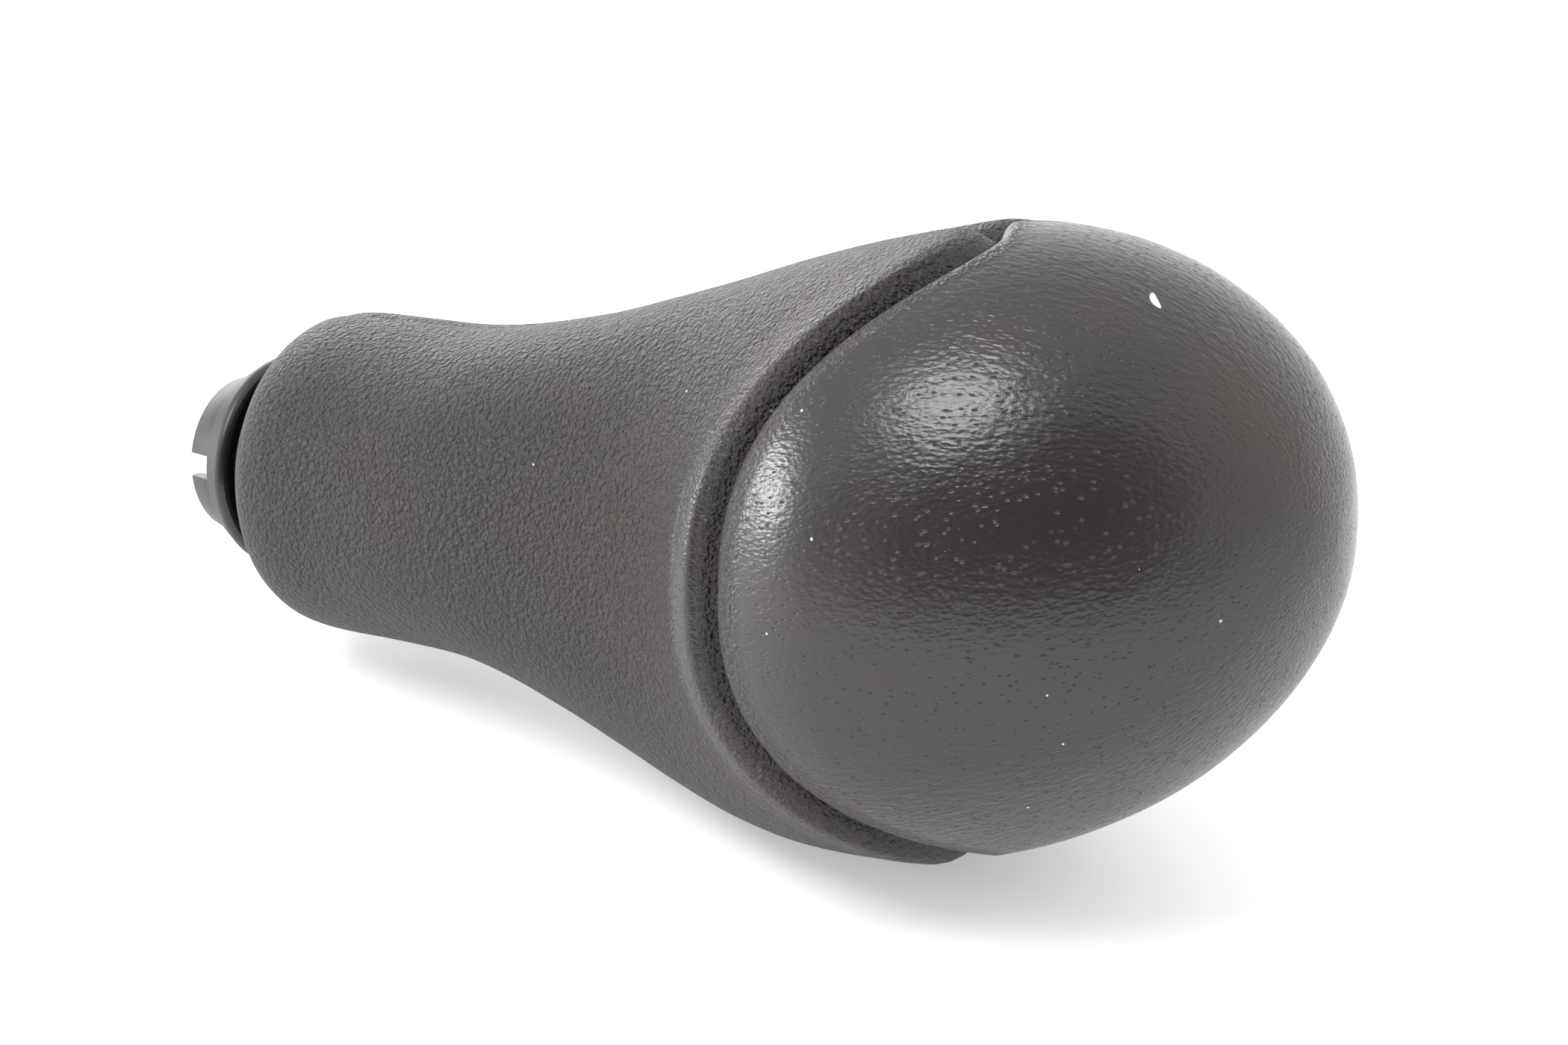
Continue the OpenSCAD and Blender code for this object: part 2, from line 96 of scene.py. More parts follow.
class KnobSizes(bpy.types.PropertyGroup):
    """The outline of the knob, close to that of its hard parts."""

    top_z: length("Height of the crown's top", CROWN_TOP_Z, "Top")
    head_w: length("Width of the head", 50 * MM, "Head Width")
    head_d: length("Depth of the head", 55 * MM, "Head Depth")
    head_z: length("Height of the head's widest level", 79.8 * MM, "Head Level")
    crown_lean: length("How far the top leans to the front", 6.7 * MM, "Crown Lean")
    head_lean: length("How far the widest level leans to the front", 1.8 * MM, "Head Lean")
    dome_power: number("Roundness of the dome, 2 is an ellipse", 1.94, "Dome Power")
    head_power: number("Roundness seen from above, 2 is an ellipse", 2.1, "Head Power")
    neck_z: length("Height of the leather's lower edge", LOWER_EDGE_Z, "Lower Edge")
    end_z: length("Height at which the lower end reaches its full size", 16.1 * MM, "End Level")
    end_w: length("Width of the neck's lower end", 29.4 * MM, "End Width")
    end_d: length("Depth of the neck's lower end", 30.6 * MM, "End Depth")
    end_round: length("How far the lower end draws in", 4.1 * MM, "End Rounding")
    end_power: number("How late the lower end draws in, 2 is an ellipse", 4.0, "End Power")
    waist_z: length("Height of the waist", 29.3 * MM, "Waist Level")
    waist_w: length("Width of the waist", 31 * MM, "Waist Width")
    waist_d: length("Depth of the waist", 31.5 * MM, "Waist Depth")
    shoulder_z: length("Height of the shoulder", 57.3 * MM, "Shoulder Level")
    shoulder_w: length("Width of the shoulder", 34.4 * MM, "Shoulder Width")
    shoulder_d: length("Depth of the shoulder", 48 * MM, "Shoulder Depth")
    shoulder_back: length("How far the shoulder bulges to the back", 1.1 * MM, "Shoulder Bulge")


class LeatherSizes(bpy.types.PropertyGroup):
    """How the leather is cut, rolled and tucked."""

    thickness: length("Thickness of the leather", 1.1 * MM, "Thickness")
    edge_low_z: length("Height of the crown's edge at the flanks", 68.3 * MM, "Edge at Flanks")
    edge_high_z: length("Height of the crown's edge beside the seams", 85.6 * MM, "Edge at Seams")
    edge_peak: number("Angle from the flank at which the edge is highest, in degrees", 78, "Edge Peak")
    edge_power: number("How tightly the edge turns up", 2.7, "Edge Power")
    lip_drop: length("Distance from the edge down to the lip", 3.7 * MM, "Lip Drop")
    lip_seam_drop: length("The same distance at the seams", 1.9 * MM, "Lip Drop at Seams")
    lip_narrow: number("How late the lip nears the edge towards the seams", 5, "Lip Narrowing")
    lip_rise: length("Height of the lip over the outline", 0.7 * MM, "Lip Rise")
    seam_lead: number("Share of the lip's drop by which the groove leads at the seams", 1.6, "Seam Lead")
    groove_depth: length("Depth of the groove under the crown", 5 * MM, "Groove Depth")
    groove_seam_depth: length("Depth of that groove at the seams", 3.4 * MM, "Groove Depth at Seams")
    floor_share: number("Share of the groove's depth that its floor has", 0.36, "Groove Floor")
    lip_round: number("How late the lip turns into the groove, 1 is soonest", 1.7, "Lip Rounding")
    floor_start: number("Share of the lip's drop at which the floor starts", 0.92, "Groove Floor Start")
    floor_end: number("Share of the lip's drop at which the floor ends", 0.95, "Groove Floor End")
    seam_dip: length("How far the crown's edge dips over a seam", 1.8 * MM, "Seam Dip")
    seam_depth: length("Depth of the seam at the groove", 1.9 * MM, "Seam Depth")
    seam_neck_depth: length("Depth of the seam on the neck", 0.4 * MM, "Seam Depth on Neck")
    seam_turn: number("Angle over which a cover turns into the seam on the neck, in degrees", 8, "Seam Turn")
    seam_top_turn: number("The same angle at the groove, in degrees", 9.5, "Seam Turn at Groove")
    seam_gap: number("Half angle between the two covers, in degrees", 0.5, "Seam Gap")
    roll_r: length("Radius of the crown's rolled edge", 1.7 * MM, "Edge Roll")
    roll_seam_less: length("How much tighter that roll is over a seam", 0.2 * MM, "Tighter Roll at Seams")


class LeatherLook(bpy.types.PropertyGroup):
    """The finish of the leather."""

    base: colour("Colour of the leather", "#231e1f", "Leather")
    warm: colour("Colour where handling has warmed it", "#2a2320", "Handled Leather")
    # The groove's colour is browner and slightly darker: a browner tone and painted shade in the recess
    groove_tuck_and_shade: colour("Colour in the groove", "#221c1a", "Tucked Leather")
    pore: colour("Colour in the pores", "#0f0e0e", "Pores")
    # The cut edge's pale colour stands for a raw cut and a painted highlight along the lower edge
    cut: colour("Colour of the cut lower edge", "#8a8784", "Cut Edge")
    dust: colour("Colour of dust specks", "#c9c7c2", "Dust")
    pore_pitch: length("Distance between pores across the grain", 0.34 * MM, "Pore Pitch")
    ripple_pitch: length("Distance between fine ripples across the grain", 0.25 * MM, "Ripple Pitch")
    pebble_pitch: length("Distance between the grain's pebbles", 0.45 * MM, "Pebble Pitch")
    pucker_pitch: length("Distance between puckers in the groove", 0.36 * MM, "Pucker Pitch")
    dust_pitch: length("Distance between dust specks", 5 * MM, "Dust Pitch")


class WearMarks(bpy.types.PropertyGroup):
    """Where the leather is nicked and where lint lies on it."""

    nick: place("Where the nick is", (6.7 * MM, -25.3 * MM, 100.6 * MM), "Nick")
    nick_way: place("The way the nick runs", (0.49, 0.54, 0.685), "Nick Direction", "XYZ")
    nick_across: place("The way across the nick", (-0.816, 0.007, 0.578), "Across the Nick", "XYZ")
    nick_long: length("Half the nick's length", 0.95 * MM, "Nick Length")
    nick_wide: length("Half the nick's width", 0.34 * MM, "Nick Width")
    nick_bend: number("How much the nick is bent", 0.55, "Nick Bend")
    bare: colour("Colour of the bared leather in the nick", "#e6e3de", "Bare Leather")
    crumb: place("Where a crumb sticks in the gap", (18.5 * MM, -14.9 * MM, 71.9 * MM), "Crumb")
    crumb_r: length("Radius of the crumb", 0.22 * MM, "Crumb Radius")
    crumb_colour: colour("Colour of the crumb", "#8f5a2b", "Crumb Colour")
    lint_left: place("Lint on the crown's left", (21.4 * MM, -15.8 * MM, 76.8 * MM), "Left Lint")
    lint_middle: place("Lint on the crown's middle", (24.7 * MM, -6.2 * MM, 80.2 * MM), "Middle Lint")
    lint_shoulder: place("Lint on the shoulder", (21.6 * MM, 7.8 * MM, 65.4 * MM), "Shoulder Lint")
    lint_low: place("Lint low in the groove", (13.9 * MM, 21 * MM, 65.7 * MM), "Low Lint")
    lint_top: place("Lint on the scuffed crown", (11 * MM, -1.2 * MM, 109.8 * MM), "Top Lint")
    lint_r: length("Radius of a bit of lint", 0.14 * MM, "Lint Radius")


class SleeveSizes(bpy.types.PropertyGroup):
    """The lock sleeve, as the hard part has it."""

    tooth_r: length("Outer radius at the toothed end", 7.5 * MM, "Tooth Radius")
    tooth_bevel: length("Bevel of the teeth", 0.3 * MM, "Tooth Bevel")
    skirt_r: length("Outer radius of the skirt at the step", 8.4 * MM, "Skirt Radius")
    band_r: length("Outer radius of the band at the step", 9 * MM, "Band Radius")
    rim_r: length("Outer radius of the rim", SLEEVE_HIGH[0], "Rim Radius")
    rim_z: length("Height of the rim", 3.2 * MM, "Rim Height")
    rim_round: length("Radius of the rim's edge", 0.9 * MM, "Rim Rounding")
    notch_w: length("Width of the notches", 2.2 * MM, "Notch Width")
    ledge_t: length("Thickness of the ledge for the cross pin", 2 * MM, "Ledge")
    ledge_r: length("Radius of the hole in the ledge", 4.75 * MM, "Ledge Hole")
    skirt_in: length("Inner radius of the skirt", 6 * MM, "Skirt Inside")
    tube_in: length("Inner radius of the upper tube", 6.06 * MM, "Tube Inside")
    tube_out: length("Outer radius of the upper tube", 7.26 * MM, "Tube Outside")
    channel_r: length("Radius of the cross pin's channel", 7.2 * MM, "Channel")
    channel_z: length("Top of the cross pin's channel", 2.45 * MM, "Channel Top")
    face_gap: length("Free gap at passing faces", 0.25 * MM, "Face Gap")


class StageSettings(bpy.types.PropertyGroup):
    """Camera, floor and lights."""

    camera_at: place("Where the camera stands", (0.26652, -0.06677, 0.24307), "Camera")
    camera_forward: place("Where the camera looks", (-0.80862, 0.19916, -0.5536), "Forward", "XYZ")
    camera_down: place("The picture's downward direction", (0.1567, 0.97988, 0.12363), "Down", "XYZ")
    lens: number("Focal length in millimetres on a 36 mm sensor", 85.79, "Lens")
    floor_up: place("The way the floor faces", (0.2858, -0.9473, 0.1449), "Floor", "XYZ")
    floor_size: length("Size of the floor", 6.0, "Floor Size")
    table_glow: number("Light that the lit table gives from below", 0.32, "Table Glow")
    surround: number("Strength of the white surround", 1.4, "Surround")
    room: place("Where the darker room lies", (0.935, -0.025, 0.355), "Room", "XYZ")
    room_light: number("Strength of the light from that room", 0.3, "Room Light")


def add(tree, kind, links=None, **settings):
    """A node of that kind, with its settings, and with values or links on its input sockets."""
    node = tree.nodes.new(kind)
    for key, value in settings.items():
        setattr(node, key, value)
    for socket, value in (links or {}).items():
        if isinstance(value, bpy.types.NodeSocket):
            tree.links.new(value, node.inputs[socket])
        else:
            node.inputs[socket].default_value = value
    return node


def new_material(name):
    """An empty material and its node tree."""
    material = bpy.data.materials.new(name)
    material.use_nodes = True
    tree = material.node_tree
    tree.nodes.clear()
    return material, tree


# Outline of the knob

def end_slopes(z, v, first, last):
    """Slopes at four stations of the curve whose second derivative is continuous, from its two end slopes."""
    a, b, c = np.diff(z)
    p = 3 * ((v[1] - v[0]) / a ** 2 + (v[2] - v[1]) / b ** 2) - first / a
    q = 3 * ((v[2] - v[1]) / b ** 2 + (v[3] - v[2]) / c ** 2) - last / c
    k, m = 2 / a + 2 / b, 2 / b + 2 / c
    det = k * m - 1 / b ** 2
    return np.array([first, (p * m - q / b) / det, (q * k - p / b) / det, last])


def curve_at(z, stations, values, slopes):
    """The cubic through the two stations round z, from their values and slopes."""
    i = np.where(z < stations[1], 0, np.where(z < stations[2], 1, 2))
    span = stations[i + 1] - stations[i]
    t = np.clip((z - stations[i]) / span, 0, 1)
    ends = (2 * t ** 3 - 3 * t ** 2 + 1) * values[i] + (3 * t ** 2 - 2 * t ** 3) * values[i + 1]
    return ends + span * ((t ** 3 - 2 * t ** 2 + t) * slopes[i] + (t ** 3 - t ** 2) * slopes[i + 1])


def half_at(k, z, t, end, waist, shoulder, head):
    """Half a width at height z, t below the skin: a curve through four stations with a drawn in lower end,
    and above the head's widest level the root of 1 less the height's share raised to the dome's power."""
    stations = np.array([k.end_z, k.waist_z, k.shoulder_z, k.head_z])
    values = np.array([end, waist, shoulder, head]) / 2
    rise = np.clip((z - k.head_z) / (k.top_z - t - k.head_z), 0, 1)
    dome = (values[3] - t) * np.maximum(0, 1 - rise ** k.dome_power) ** (1 / k.dome_power)
    drop = np.clip((k.end_z - z) / (k.end_z - k.neck_z - t), 0, 1)
    drawn = k.end_round * (1 - np.sqrt(1 - drop ** k.end_power))
    neck = curve_at(z, stations, values, end_slopes(stations, values, 0, 0)) - t - drawn
    return np.where(z > k.head_z, dome, neck)


# Slope of the lean at the crown's top, as a share of its mean slope over the dome
LEAN_END = 0.92


def skin(k, z, a, t, extra=0.0):
    """The skin at height z and angle a: a superellipse, whose middle shifts to the back or the front with
    the height, t below the outline and drawn in by extra."""
    z, a, t, extra = np.broadcast_arrays(z, a, t, extra)
    stations = np.array([k.waist_z, k.shoulder_z, k.head_z, k.top_z])
    shifts = np.array([0, k.shoulder_back, -k.head_lean, -k.crown_lean])
    tilt = -LEAN_END * (k.crown_lean - k.head_lean) / (k.top_z - k.head_z)
    power = 2 + (k.head_power - 2) * np.clip((z - k.waist_z) / (k.head_z - k.waist_z), 0, 1)
    c, s = np.cos(a), np.sin(a)
    wide = np.maximum(0, half_at(k, z, t, k.end_w, k.waist_w, k.shoulder_w, k.head_w) - extra)
    deep = np.maximum(0, half_at(k, z, t, k.end_d, k.waist_d, k.shoulder_d, k.head_d) - extra)
    shift = curve_at(z, stations, shifts, end_slopes(stations, shifts, 0, tilt))
    return np.stack([wide * np.sign(c) * np.abs(c) ** (2 / power),
                     shift + deep * np.sign(s) * np.abs(s) ** (2 / power), z], -1)


# Power of the sine that is near 1 only at the seams, and its own power for the dip of the crown's edge
SEAM_POWER = 12
DIP_POWER = 4
# Share of the way up from which the seams deepen, and how much the leather is gathered at the flanks
SEAM_DEEPENS = 0.6
LEAST_GATHER = 0.15


def near_seam(a):
    """0 on the flanks and 1 at the seams, a high power of the sine."""
    return np.abs(np.sin(a)) ** SEAM_POWER


def flank_angle(a):
    """The angle from the nearer flank, 0 to a right angle, as the arc sine of the sine."""
    return np.abs(np.arcsin(np.clip(np.sin(a), -1, 1)))


def edge_z(e, a):
    """Height of the crown's edge: a power of the sine of the angle from the flank, stretched to its peak,
    less a dip where the crown laps over a seam, a higher power of the sine."""
    reach = np.sin(flank_angle(a) * (90 / e.edge_peak)) ** e.edge_power
    return e.edge_low_z + (e.edge_high_z - e.edge_low_z) * reach - e.seam_dip * near_seam(a) ** DIP_POWER


def groove_at(e, a):
    """Depth of the groove, which is less near the seams."""
    return e.groove_depth + (e.groove_seam_depth - e.groove_depth) * near_seam(a)


def roll_at(e, a):
    """Radius of the crown's rolled edge, which is less near the seams."""
    return e.roll_r - e.roll_seam_less * near_seam(a)


def seam_draw(e, a, share):
    """How far the skin is drawn in at the seams: a parabola of the angle, deeper and wider towards the groove
    by the square of the way up."""
    high = np.clip((share - SEAM_DEEPENS) / (1 - SEAM_DEEPENS), 0, 1) ** 2
    depth = e.seam_neck_depth + (e.seam_depth - e.seam_neck_depth) * high
    turn = e.seam_turn + (e.seam_top_turn - e.seam_turn) * high
    return depth * np.clip(1 - (90 - np.degrees(flank_angle(a))) / turn, 0, 1) ** 2


def gathered(a):
    """How much the leather is gathered and not stretched: more towards the seams by a square of the sine."""
    return LEAST_GATHER + (1 - LEAST_GATHER) * np.sin(a) ** 2


def ease(x):
    """A smooth step from 0 to 1, three squares less two cubes."""
    x = np.clip(x, 0, 1)
    return x * x * (3 - 2 * x)


# Meshes from grids

def strip_faces(rows, columns, start=0):
    """The quads of a grid whose points are numbered row by row."""
    i, j = np.meshgrid(np.arange(rows - 1), np.arange(columns - 1), indexing="ij")
    first = (start + i * columns + j).ravel()
    return np.stack([first, first + 1, first + columns + 1, first + columns], -1)


def make_object(name, points, faces, uv=None, shades=None, grain=None):
    """A smooth mesh object from points and quads, its doubles merged and its faces turned outwards.
    uv has one pair a point, in millimetres, shades names further numbers, one a point, and grain has the
    places of the points in the leather's own grain and in its longer streaks."""
    mesh = bpy.data.meshes.new(name)
    mesh.vertices.add(len(points))
    mesh.vertices.foreach_set("co", points.astype(np.float32).ravel())
    mesh.loops.add(faces.size)
    mesh.loops.foreach_set("vertex_index", faces.astype(np.int32).ravel())
    mesh.polygons.add(len(faces))
    mesh.polygons.foreach_set("loop_start", np.arange(0, faces.size, 4, dtype=np.int32))
    mesh.update(calc_edges=True)
    if uv is not None:
        layer = mesh.uv_layers.new(name="millimetres")
        layer.data.foreach_set("uv", uv[faces.ravel()].astype(np.float32).ravel())
    for key, values in (shades or {}).items():
        mesh.attributes.new(key, "FLOAT", "POINT").data.foreach_set("value", values.astype(np.float32))
    for key, places in zip(("grain", "streak"), grain or ()):
        layer = mesh.attributes.new(key, "FLOAT_VECTOR", "POINT")
        layer.data.foreach_set("vector", places.astype(np.float32).ravel())
    work = bmesh.new()
    work.from_mesh(mesh)
    bmesh.ops.remove_doubles(work, verts=work.verts, dist=1e-7)
    bmesh.ops.recalc_face_normals(work, faces=work.faces)
    for face in work.faces:
        face.smooth = True
    work.to_mesh(mesh)
    work.free()
    mesh.validate()
    made = bpy.data.objects.new(name, mesh)
    bpy.context.scene.collection.objects.link(made)
    return made


def vertex_places(mesh):
    """The places of a mesh's vertices."""
    places = np.empty(3 * len(mesh.vertices), np.float32)
    mesh.vertices.foreach_get("co", places)
    return places.reshape(-1, 3)


def along(points):
    """The distance run along the first axis of a grid of points, in millimetres."""
    steps = np.linalg.norm(np.diff(points, axis=0), axis=-1)
    return np.concatenate([np.zeros((1, points.shape[1])), np.cumsum(steps, axis=0)]) / MM


def each_point(shades, points):
    """Numbers that are given by row, by column or by both, spread over all the points of a grid."""
    return {key: np.broadcast_to(values, points.shape[:2]).ravel() for key, values in shades.items()}


def soft_swell(points):
    """A slow unevenness of stretched leather, a sum of products of sines of the place in millimetres, between
    -1 and 1."""
    x, y, z = (points / MM).T
    return (np.sin(0.31 * x + 0.22 * z + 1.0) * np.sin(0.27 * y - 0.13 * z)
            + 0.5 * np.sin(0.6 * y + 0.45 * z + 2.0) * np.sin(0.52 * x - 0.3 * z + 0.7)) / 1.5


# Covers of leather

CROWN_COLUMNS = 361
CROWN_ANGLES = np.linspace(-np.pi, np.pi, CROWN_COLUMNS)[None, :]
CROWN_ROWS, CROWN_EDGE_ROWS = 170, 18
LINING_ROWS, LINING_EDGE_ROWS = 40, 5
# The crown's tucked edge ends this far before the groove's own depth
TUCK_GAP = 0.5 * MM
# Height of the slow unevenness of the leather
SWELL = 0.06 * MM
# Shares of its real length that the grain and the streaks run in their patterns, so that they are drawn out
GRAIN_STRETCH = 0.3
STREAK_STRETCH = 0.14
# Millimetres from the crown's pole over which the grain isn't yet drawn out
POLE_GRAIN = 8
# Where the crown's leather is pulled tight and where its tuck shows, in rows from the dome's last, and how
# tucked it is (the tuck's browner colour with painted shade, and its puckers), how dull and how much less
# gathered it is there
TIGHT_START, TIGHT_ROWS = -7, 6
TUCK_START, TUCK_ROWS = 2, 12
EDGE_TUCK, EDGE_DULL, EDGE_SMOOTHING = 0.6, 0.6, 0.8


def crown_rows(k, e, t, rows):
    """Rows from the crown's top down to its edge, t below the skin. Each height is the edge's height plus the
    sine of the row's share of a right angle times what is left to the top."""
    share = np.linspace(1, 0, rows)[:, None]
    low = edge_z(e, CROWN_ANGLES) + roll_at(e, CROWN_ANGLES)
    z = low + (k.top_z - t - low) * np.sin(share * np.pi / 2)
    return skin(k, z, CROWN_ANGLES, t)


def crown_edge_rows(k, e, t, rows):
    """Rows round the rolled edge, a quarter circle, and then flat inwards to the tuck."""
    a = CROWN_ANGLES
    turn = np.linspace(0, np.pi / 2, rows)[1:, None]
    roll = roll_at(e, a)
    deep = roll - (roll - t) * np.cos(turn)
    rise = roll - (roll - t) * np.sin(turn)
    tuck = groove_at(e, a) - TUCK_GAP
    rolled = skin(k, edge_z(e, a) + rise, a, deep)
    flat = [skin(k, edge_z(e, a) + t, a, roll + (tuck - roll) * s) for s in (0.5, 1.0)]
    return np.concatenate([rolled, np.stack([f[0] for f in flat])])


def make_crown(k, e):
    """The crown's cover: dome, rolled edge and tuck outside, and the same again a leather's thickness inside.
    Its grain is true at the pole and is drawn out along the meridians from there."""
    outside = np.concatenate([crown_rows(k, e, 0.0, CROWN_ROWS), crown_edge_rows(k, e, 0.0, CROWN_EDGE_ROWS)])
    inside = np.concatenate([crown_rows(k, e, e.thickness, LINING_ROWS),
                             crown_edge_rows(k, e, e.thickness, LINING_EDGE_ROWS)])
    points = np.concatenate([outside, inside[::-1]])
    flat = points.reshape(-1, 3)
    a = CROWN_ANGLES
    run = along(points)
    around = (a + np.pi) * k.head_d / 2 / MM * np.ones((len(points), 1))
    uv = np.stack([around, run], -1).reshape(-1, 2)
    reaches = [stretch * run + (1 - stretch) * POLE_GRAIN * (1 - np.exp(-run / POLE_GRAIN))
               for stretch in (GRAIN_STRETCH, STREAK_STRETCH)]
    grain = [np.stack([reach * np.cos(a), reach * np.sin(a), 0 * reach], -1).reshape(-1, 3)
             for reach in reaches]
    outward = flat - flat.mean(axis=0)
    outward = outward / np.linalg.norm(outward, axis=-1, keepdims=True)
    flat = flat + outward * (soft_swell(flat) * SWELL - SWELL)[:, None]
    past_dome = np.arange(len(points))[:, None] - CROWN_ROWS
    tight = ease((past_dome - TIGHT_START) / TIGHT_ROWS)
    shades = {"tuck": EDGE_TUCK * np.clip((past_dome - TUCK_START) / TUCK_ROWS, 0, 1), "tight": tight,
              "dull": EDGE_DULL * tight, "gather": gathered(a) * (1 - EDGE_SMOOTHING * tight)}
    return make_object("crown_leather", flat, strip_faces(len(points), CROWN_COLUMNS), uv,
                       each_point(shades, points), grain)


SIDE_COLUMNS = 171
NECK_ROWS = 111
GROOVE_ROWS = 44
# How much closer the columns stand at the seams, where 0 is not at all
SEAM_CROWDING = 0.35
# How much closer the rows stand at the lower edge, where 1 is not at all
ROW_CROWDING = 1.35
# Shares of the lip's drop at which the tucked leather is deepest and at which its rows end
TUCK_END = 1.04
GROOVE_END = 1.1
# Share of the way up at which the lip starts to rise, share of its drop at which that rise has gone, and how
# much less the lip rises at the seams
RISE_START = 0.9
RISE_GONE = 0.9
SEAM_RISE_LESS = 0.8
# The pale band at the lower edge, a raw cut with a painted highlight along it, and its fade, in millimetres
# up from it
CUT_HIGHLIGHT_WIDTH, CUT_HIGHLIGHT_FADE = 0.4, 0.3
# The lip's smooth band and its two fades, in millimetres past the lip
BAND_START, BAND_START_FADE = -3.2, 1.6
BAND_END, BAND_END_FADE = 1.2, 1.2
# What the tuck's smooth step takes at the groove's first row and at its last; it sets the groove's browner
# colour, with painted shade, and its puckers
TUCK_FIRST, TUCK_LAST = -0.25, 1.6
# Mean radius of a side cover in millimetres, for its places round the axis
COVER_R = 20


def side_rows(k, e, a, t):
    """Rows up a side cover, t below its face: from the lower edge to the lip, then down into the groove. Past
    the lip the depth is the sum of two smooth steps of the way up, one from the lip to the groove's floor and
    one where the leather is tucked under the crown; near the seams it starts before the lip. The lip's own
    rise fades in and out by smooth steps, and is small at the seams."""
    lip_drop = e.lip_drop + (e.lip_seam_drop - e.lip_drop) * np.abs(np.sin(a)) ** e.lip_narrow
    lip = edge_z(e, a) - lip_drop
    low = k.neck_z + t
    share = (np.linspace(0, 1, NECK_ROWS) ** ROW_CROWDING)[:, None]
    way = np.linspace(0, GROOVE_END, GROOVE_ROWS + 1)[1:, None]
    z = np.concatenate([low + share * (lip - low), lip + way * lip_drop])
    up = (z - lip) / lip_drop
    start = -e.seam_lead * near_seam(a)
    floor = ease((up - start) / (e.floor_start - start)) ** e.lip_round
    tuck = ease((up - e.floor_end) / (TUCK_END - e.floor_end))
    sink = groove_at(e, a) * (e.floor_share * floor + (1 - e.floor_share) * tuck)
    reach = (z - low) / (lip - low)
    swell = np.where(up < 0, ease((reach - RISE_START) / (1 - RISE_START)), 1 - ease(up / RISE_GONE))
    rise = e.lip_rise * (1 - SEAM_RISE_LESS * near_seam(a)) * swell
    return skin(k, z, a, t, sink - rise + seam_draw(e, a, reach))


def make_side(k, e, name, side):
    """A side cover: its outside, then its inside a leather's thickness below, closed at both seams. Its
    columns' angles are a straight line and a sine together. It is dull but for a band at the lip, which fades
    towards the seams by a power of the cosine."""
    reach = np.radians(90 - e.seam_gap)
    spread = np.linspace(-1, 1, SIDE_COLUMNS)
    a = reach * (np.sin(spread * np.pi / 2) * SEAM_CROWDING + spread * (1 - SEAM_CROWDING))[None, :]
    outside = side_rows(k, e, a, 0.0)
    inside = side_rows(k, e, a, e.thickness)[::-1]
    points = np.concatenate([outside, inside, outside[:1]])
    rows, half = len(points), len(outside)
    run = along(points)
    edge_run = np.full((rows, 1), np.inf)
    edge_run[:NECK_ROWS, 0] = run[:NECK_ROWS, SIDE_COLUMNS // 2]
    past_lip = run - run[NECK_ROWS - 1]
    band = ease((past_lip - BAND_START) / BAND_START_FADE) * (1 - ease((past_lip - BAND_END) / BAND_END_FADE))
    dull = 1 - band * np.cos(a) ** 4
    dull[half:] = 1
    # How far the groove takes the tuck's browner colour, which paints shade into the recess, and its puckers
    groove_tuck_and_shade = np.zeros((rows, 1))
    groove_tuck_and_shade[NECK_ROWS:half, 0] = ease(np.linspace(TUCK_FIRST, TUCK_LAST, GROOVE_ROWS))
    # The cut's band paints a pale highlight along the lower edge, over its raw cut
    shades = {"tuck": groove_tuck_and_shade, "cut": 1 - ease((edge_run - CUT_HIGHLIGHT_WIDTH) / CUT_HIGHLIGHT_FADE), "dull": dull,
              "gather": gathered(a)}
    around = (a + np.pi) * COVER_R * np.ones((rows, 1))
    uv = np.stack([around, run], -1).reshape(-1, 2)
    flat = points.reshape(-1, 3)
    outward = flat * [1, 1, 0] / np.maximum(np.hypot(flat[:, 0], flat[:, 1]), 1e-6)[:, None]
    flat = flat + outward * (soft_swell(flat) * SWELL)[:, None]
    grain = [np.concatenate([flat[:, :2] / MM, stretch * run.reshape(-1, 1)], -1)
             for stretch in (GRAIN_STRETCH, STREAK_STRETCH)]
    ends = []
    for column in (0, SIDE_COLUMNS - 1):
        outer = np.arange(half) * SIDE_COLUMNS + column
        inner = (2 * half - 1 - np.arange(half)) * SIDE_COLUMNS + column
        ends.append(np.stack([outer[:-1], outer[1:], inner[1:], inner[:-1]], -1))
    faces = np.concatenate([strip_faces(rows, SIDE_COLUMNS)] + ends)
    return make_object(name, flat * [side, 1, 1], faces, uv, each_point(shades, points), grain)


# Lock sleeve

def turned_ring(profile, columns):
    """A closed profile of radius and height carried once round the axis."""
    a = np.linspace(0, 2 * np.pi, columns)[None, :]
    r, z = profile[:, :1], profile[:, 1:]
    return np.stack([r * np.cos(a), r * np.sin(a), z + 0 * a], -1)


def turned_sector(profile, gap, columns, side):
    """A closed profile carried over half a turn, between two flat ends that stand gap off the X axis."""
    r, z = profile[:, :1], profile[:, 1:]
    start = np.arcsin(gap / r)
    a = start + (np.pi - 2 * start) * np.linspace(0, 1, columns)[None, :]
    return np.stack([side * r * np.cos(a), side * r * np.sin(a), z + 0 * a], -1)


def corner(centre, r, first, last, count):
    """Points of an arc round a centre, from one angle to another, in degrees."""
    a = np.radians(np.linspace(first, last, count))
    return [(centre[0] + r * np.cos(x), centre[1] + r * np.sin(x)) for x in a]


RING_COLUMNS = 193
SECTOR_COLUMNS = 91
# Where the skirt ends under the band, and how far it reaches into the band so that no slit shows
STEP_Z = -0.1 * MM
STEP_LAP = 0.4 * MM
# Small roundings and bevels: the band's lower edge, the tube's foot and its end, and the toothed end's mouth
BAND_ROUND = 0.12 * MM
TUBE_FOOT = 0.3 * MM
TUBE_BEVEL = 0.2 * MM
TUBE_LEAD = 0.1 * MM
MOUTH_LEAD = 0.15 * MM
WORN_BEVEL = 0.09 * MM
SHARP_ANGLE = 35


